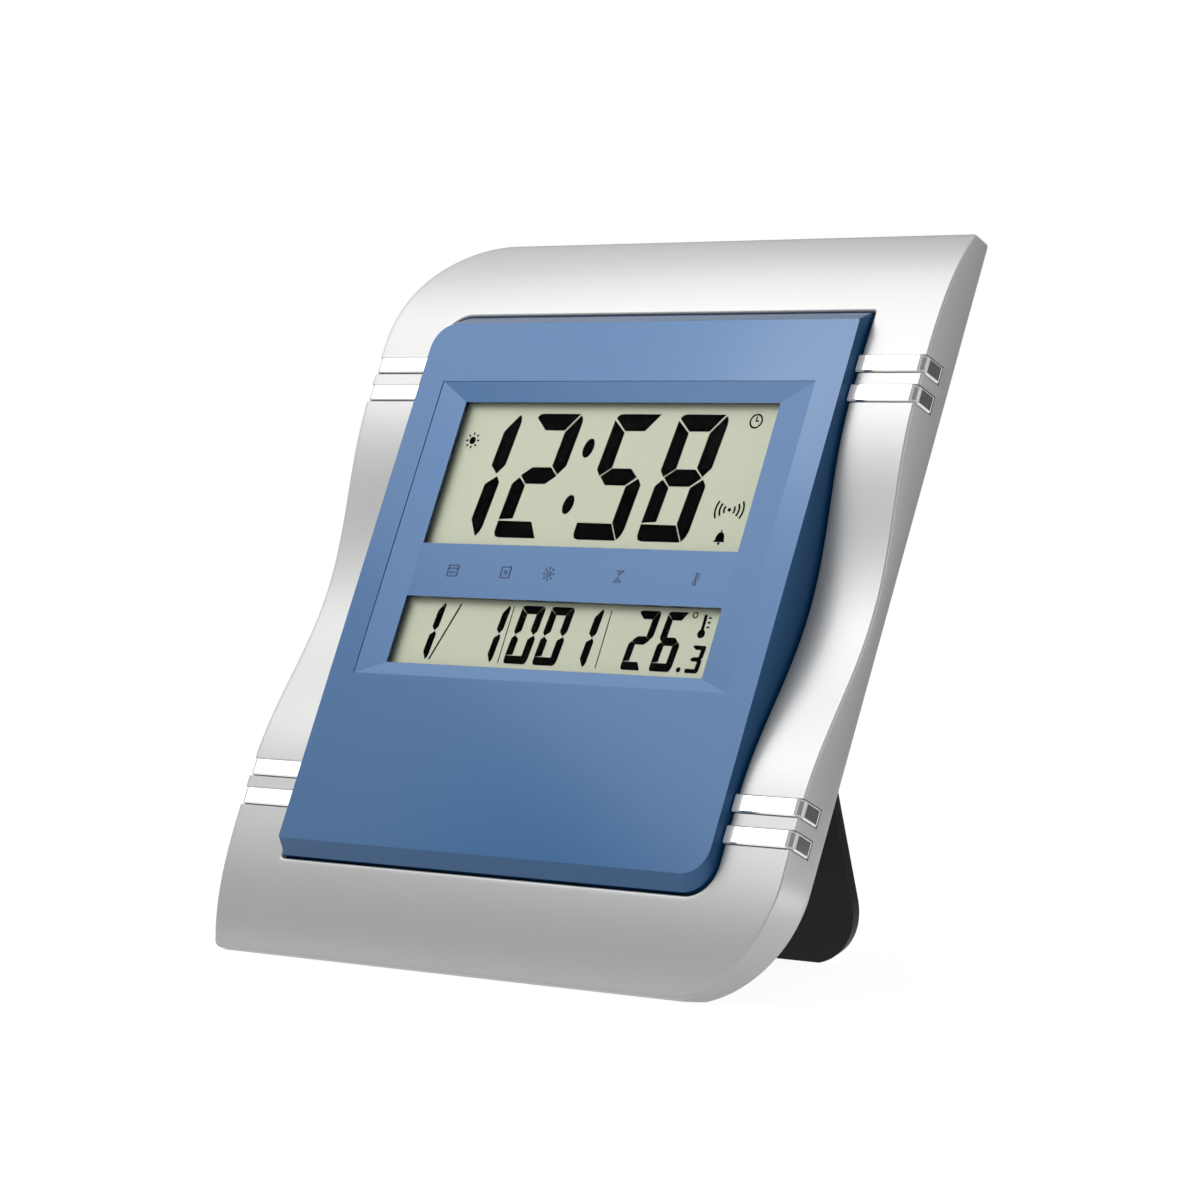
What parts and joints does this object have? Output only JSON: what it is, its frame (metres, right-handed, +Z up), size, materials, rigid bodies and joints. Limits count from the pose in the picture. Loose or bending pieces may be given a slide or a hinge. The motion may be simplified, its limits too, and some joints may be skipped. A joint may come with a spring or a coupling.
{
  "type": "digital desk clock",
  "caption": "Upright desk clock with a rolling silver frame, raised blue panel, windowed liquid crystal display, bright trim strips, folding rear stand, rear buttons and battery bay.",
  "frame": {"origin": "middle of the footprint, on the table the clock stands on", "axes": "+X right as seen from the front, +Y towards the back, +Z up; the face looks towards -Y and leans back"},
  "size_m": [0.1984, 0.0988, 0.2016],
  "materials": {
    "frame_silver": "satin silver lacquer",
    "panel_blue": "semi-gloss pearl blue",
    "trim_bright": "bright plated",
    "lens_clear": "clear",
    "display_film": "satin polariser",
    "display_glass": "grey-green liquid crystal",
    "holder_white": "moulded",
    "dark_rubber": "matte",
    "board_green": "solder mask",
    "black_resin": "semi-matte",
    "screw_steel": "zinc plated",
    "contact_steel": "nickel plated",
    "button_grey": "satin",
    "buzzer_brass": "bare",
    "case_black": "fine texture",
    "cell_wrap": "plain coloured wrap",
    "lead_red": "insulation"
  },
  "bodies": {
    "clock": {"front_frame": "frame_silver", "front_panel": "panel_blue", "trim_strip_left_upper_outer": "trim_bright", "trim_strip_left_upper_inner": "trim_bright", "trim_strip_left_lower_outer": "trim_bright", "trim_strip_left_lower_inner": "trim_bright", "trim_strip_right_upper_outer": "trim_bright", "trim_strip_right_upper_inner": "trim_bright", "trim_strip_right_lower_outer": "trim_bright", "trim_strip_right_lower_inner": "trim_bright", "panel_screw_left_upper": "screw_steel", "panel_screw_right_upper": "screw_steel", "panel_screw_left_lower": "screw_steel", "panel_screw_right_lower": "screw_steel", "display_lens": "lens_clear", "display_front_film": "display_film", "display_glass": "display_glass", "display_reflector": "display_film", "display_holder": "holder_white", "connector_strip_upper": "dark_rubber", "connector_strip_lower": "dark_rubber", "circuit_board": "board_green", "controller_chip": "black_resin", "quartz_crystal": "screw_steel", "smoothing_capacitor": "black_resin", "temperature_sensor": "black_resin", "board_screw_left_upper": "screw_steel", "board_screw_right_upper": "screw_steel", "board_screw_left_lower": "screw_steel", "board_screw_right_lower": "screw_steel", "key_mat": "dark_rubber", "buzzer_disc": "buzzer_brass", "rear_cover": "case_black", "cover_screw_left_upper": "screw_steel", "cover_screw_right_upper": "screw_steel", "cover_screw_left_lower": "screw_steel", "cover_screw_right_lower": "screw_steel", "cover_screw_top_left": "screw_steel", "cover_screw_top_right": "screw_steel", "battery_cell_upper": "cell_wrap", "battery_cell_lower": "cell_wrap", "contact_negative": "contact_steel", "contact_positive": "contact_steel", "contact_link": "contact_steel", "battery_lead_black": "black_resin", "battery_lead_red": "lead_red", "buzzer_lead_black": "black_resin", "buzzer_lead_red": "lead_red"},
    "stand": {"stand": "case_black"},
    "battery_door": {"battery_door": "case_black"},
    "button_mode": {"button_mode": "button_grey"},
    "button_set": {"button_set": "button_grey"},
    "button_up": {"button_up": "button_grey"},
    "button_down": {"button_down": "button_grey"},
    "button_alarm": {"button_alarm": "button_grey"}
  },
  "joints": [
    {"name": "stand_fold", "type": "hinge", "parent": "clock", "child": "stand", "pos_m": [0, 0.00896, 0.10159], "axis": [1, 0, 0], "range_deg": [-42, 0]},
    {"name": "battery_door_slide", "type": "slide", "parent": "clock", "child": "battery_door", "axis": [0, -0.4226, -0.9063], "range_m": [0, 0.008]},
    {"name": "button_mode_press", "type": "slide", "parent": "clock", "child": "button_mode", "axis": [0, -0.9063, 0.4226], "range_m": [0, 0.001], "stiffness_N_per_m": 800, "springref_m": -0.001},
    {"name": "button_set_press", "type": "slide", "parent": "clock", "child": "button_set", "axis": [0, -0.9063, 0.4226], "range_m": [0, 0.001], "stiffness_N_per_m": 800, "springref_m": -0.001},
    {"name": "button_up_press", "type": "slide", "parent": "clock", "child": "button_up", "axis": [0, -0.9063, 0.4226], "range_m": [0, 0.001], "stiffness_N_per_m": 800, "springref_m": -0.001},
    {"name": "button_down_press", "type": "slide", "parent": "clock", "child": "button_down", "axis": [0, -0.9063, 0.4226], "range_m": [0, 0.001], "stiffness_N_per_m": 800, "springref_m": -0.001},
    {"name": "button_alarm_press", "type": "slide", "parent": "clock", "child": "button_alarm", "axis": [0, -0.9063, 0.4226], "range_m": [0, 0.001], "stiffness_N_per_m": 800, "springref_m": -0.001}
  ]
}
